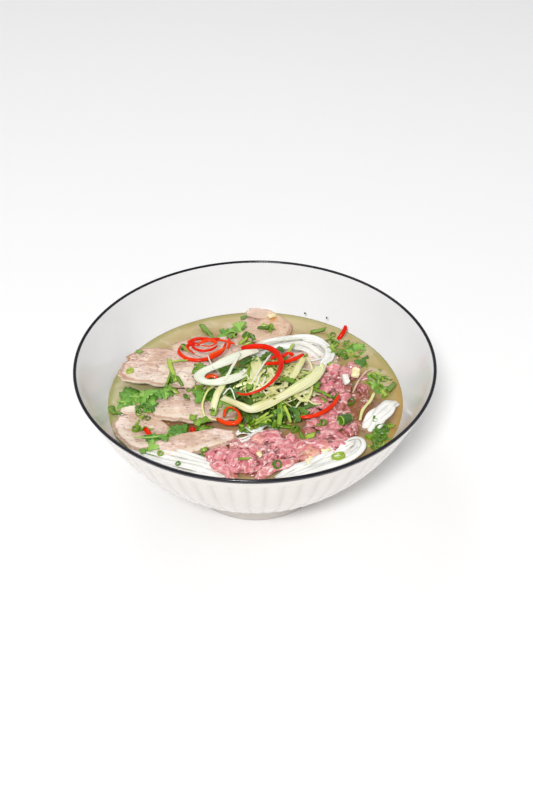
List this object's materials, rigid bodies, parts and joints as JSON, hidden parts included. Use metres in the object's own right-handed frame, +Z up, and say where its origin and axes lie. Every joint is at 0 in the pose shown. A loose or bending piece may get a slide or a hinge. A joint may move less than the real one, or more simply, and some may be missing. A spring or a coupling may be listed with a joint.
{
  "type": "pho noodle soup",
  "caption": "Bowl of beef pho: rice noodles in clear broth with cooked beef slices, folded rare beef, shredded scallion, sliced chili and herbs, in a white fluted bowl with a dark rim line.",
  "frame": {"origin": "the middle of the foot ring's underside, on the surface that the bowl stands on", "axes": "+Z up along the bowl's axis; -Y towards the eater, +X to the eater's right"},
  "size_m": [0.225, 0.225, 0.098],
  "materials": {
    "bowl_glaze": "glossy white glaze",
    "rim_glaze": "glossy blue-black glaze line",
    "broth": "clear golden broth with small drops of oil",
    "noodle": "wet white rice noodle",
    "cooked_beef": "moist cooked beef with fine grain",
    "rare_beef": "wet rare beef",
    "scallion_green": "wet green scallion",
    "scallion_pale": "wet pale green scallion",
    "scallion_white": "wet white scallion",
    "herb_green": "fresh leaf",
    "chili": "glossy red chili skin",
    "garlic": "moist cream garlic",
    "onion": "moist white onion"
  },
  "bodies": {
    "root": {"bowl": "bowl_glaze", "soup": "broth", "noodles": "noodle", "noodle_loop": "noodle", "beef_slice_left": "cooked_beef", "beef_slice_middle": "cooked_beef", "beef_slice_front": "cooked_beef", "beef_slice_low_left": "cooked_beef", "beef_slice_back": "cooked_beef", "beef_slice_under_chili": "cooked_beef", "beef_slice_right": "cooked_beef", "rare_beef_front": "rare_beef", "rare_beef_band": "rare_beef", "rare_beef_middle": "rare_beef", "rare_beef_right": "rare_beef", "scallion_shreds": "scallion_pale", "scallion_curl": "scallion_white", "scallion_leaf": "scallion_pale", "scallion_tube": "scallion_green", "chili_arc": "chili", "chili_bow": "chili", "chili_ring_large": "chili", "chili_ring_small": "chili", "chili_ring_front": "chili", "chili_strip_right": "chili", "chili_strip_back": "chili", "garlic_chip": "garlic", "onion_piece": "onion"}
  },
  "joints": []
}
